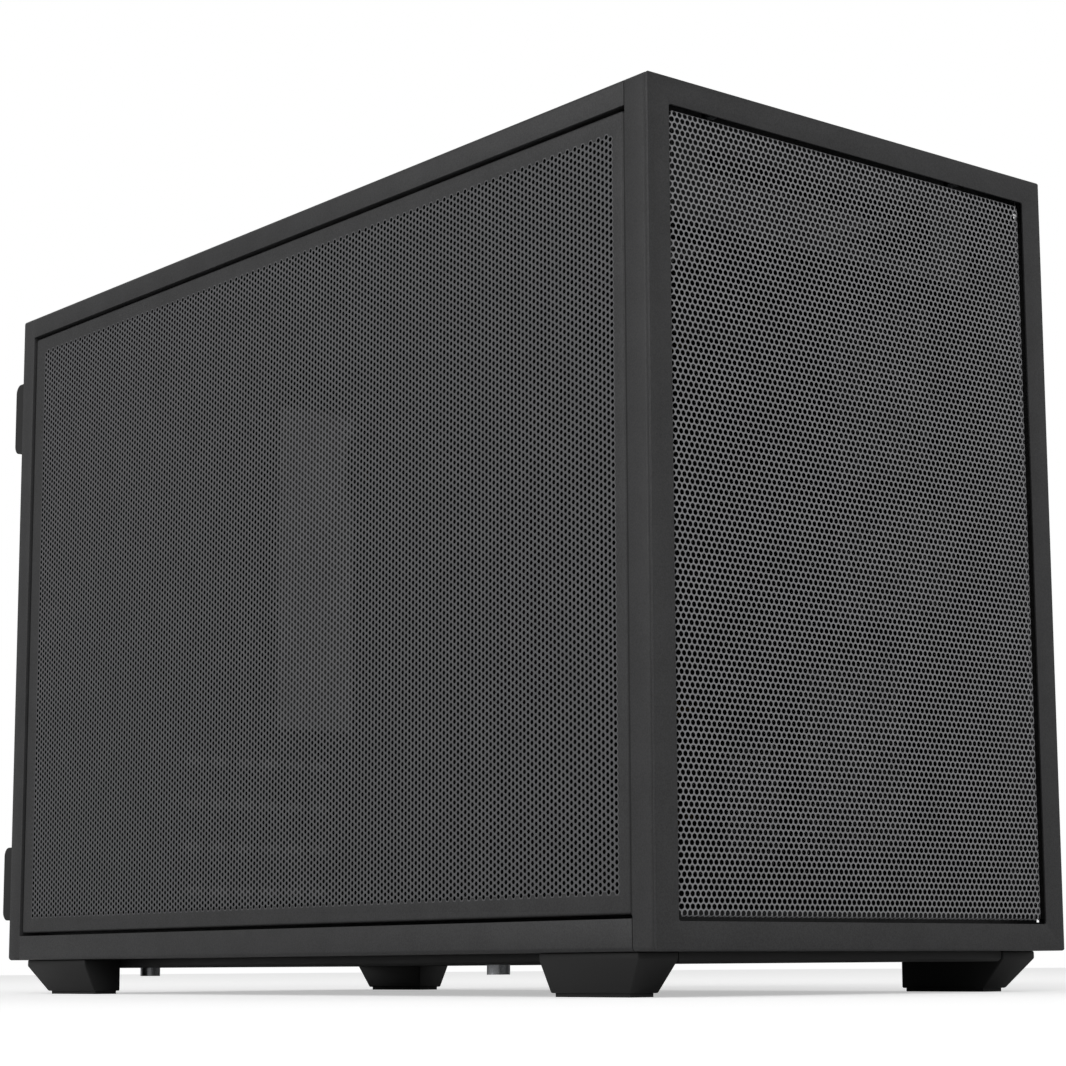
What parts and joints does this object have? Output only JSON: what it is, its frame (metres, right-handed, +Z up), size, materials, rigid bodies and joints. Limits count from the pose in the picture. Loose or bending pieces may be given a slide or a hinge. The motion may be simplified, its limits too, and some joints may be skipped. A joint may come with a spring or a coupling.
{
  "type": "computer case",
  "caption": "Compact micro-ATX computer case in black powder-coated steel with perforated front, sides and top that pull off.",
  "frame": {"origin": "on the floor, under the middle of the whole object", "axes": "+X to the viewer's right when facing the front, the front looks along -Y, +Z up"},
  "size_m": [0.201, 0.443, 0.3064],
  "materials": {
    "powder_coat": "fine textured black powder coat",
    "inner_steel": "satin black",
    "abs": "finely textured",
    "rubber": "matte",
    "zinc_plate": "zinc plated",
    "brass": "plain"
  },
  "bodies": {
    "chassis": {"bottom_pan": "powder_coat", "top_frame": "powder_coat", "front_frame": "powder_coat", "rear_panel": "powder_coat", "rear_rim": "powder_coat", "motherboard_tray": "inner_steel", "motherboard_standoffs": "brass", "top_fan_bracket": "inner_steel", "psu_bracket": "inner_steel", "ssd_bracket": "inner_steel", "slot_cover_1": "inner_steel", "slot_cover_2": "inner_steel", "slot_cover_3": "inner_steel", "slot_cover_4": "inner_steel", "slot_ledge": "inner_steel", "slot_screws": "zinc_plate", "psu_inlet": "abs", "io_housing": "abs", "usb_a_port_1": "zinc_plate", "usb_a_port_2": "zinc_plate", "usb_c_port": "zinc_plate", "audio_jack": "abs", "filter_frame": "abs", "filter_mesh": "inner_steel", "bottom_thumbscrews": "zinc_plate", "foot_front_left": "abs", "foot_front_right": "abs", "foot_rear_left": "abs", "foot_rear_right": "abs", "pad_front_left": "rubber", "pad_front_right": "rubber", "pad_rear_left": "rubber", "pad_rear_right": "rubber", "rear_standoff_lower_left": "rubber", "rear_standoff_lower_right": "rubber", "rear_standoff_upper_left": "rubber", "rear_standoff_upper_right": "rubber", "front_panel_clips": "abs", "left_panel_clips": "abs", "right_panel_clips": "abs", "top_panel_clips": "abs"},
    "front_panel": {"front_panel": "powder_coat", "front_ring": "powder_coat", "front_mesh": "powder_coat", "front_panel_studs": "zinc_plate"},
    "left_side_panel": {"left_side_panel": "powder_coat", "left_panel_studs": "zinc_plate"},
    "right_side_panel": {"right_side_panel": "powder_coat", "right_panel_studs": "zinc_plate"},
    "top_panel": {"top_panel": "powder_coat", "top_panel_studs": "zinc_plate"},
    "power_button": {"power_button": "abs"},
    "reset_button": {"reset_button": "abs"}
  },
  "joints": [
    {"name": "front_panel_pull", "type": "slide", "parent": "chassis", "child": "front_panel", "axis": [0, -1, 0], "range_m": [0, 0.03]},
    {"name": "left_panel_pull", "type": "slide", "parent": "chassis", "child": "left_side_panel", "axis": [-1, 0, 0], "range_m": [0, 0.03]},
    {"name": "right_panel_pull", "type": "slide", "parent": "chassis", "child": "right_side_panel", "axis": [1, 0, 0], "range_m": [0, 0.03]},
    {"name": "top_panel_lift", "type": "slide", "parent": "chassis", "child": "top_panel", "axis": [0, 0, 1], "range_m": [0, 0.03]},
    {"name": "power_press", "type": "slide", "parent": "chassis", "child": "power_button", "axis": [0, 0, -1], "range_m": [0, 0.0012], "stiffness_N_per_m": 300},
    {"name": "reset_press", "type": "slide", "parent": "chassis", "child": "reset_button", "axis": [0, 0, -1], "range_m": [0, 0.0012], "stiffness_N_per_m": 300}
  ]
}
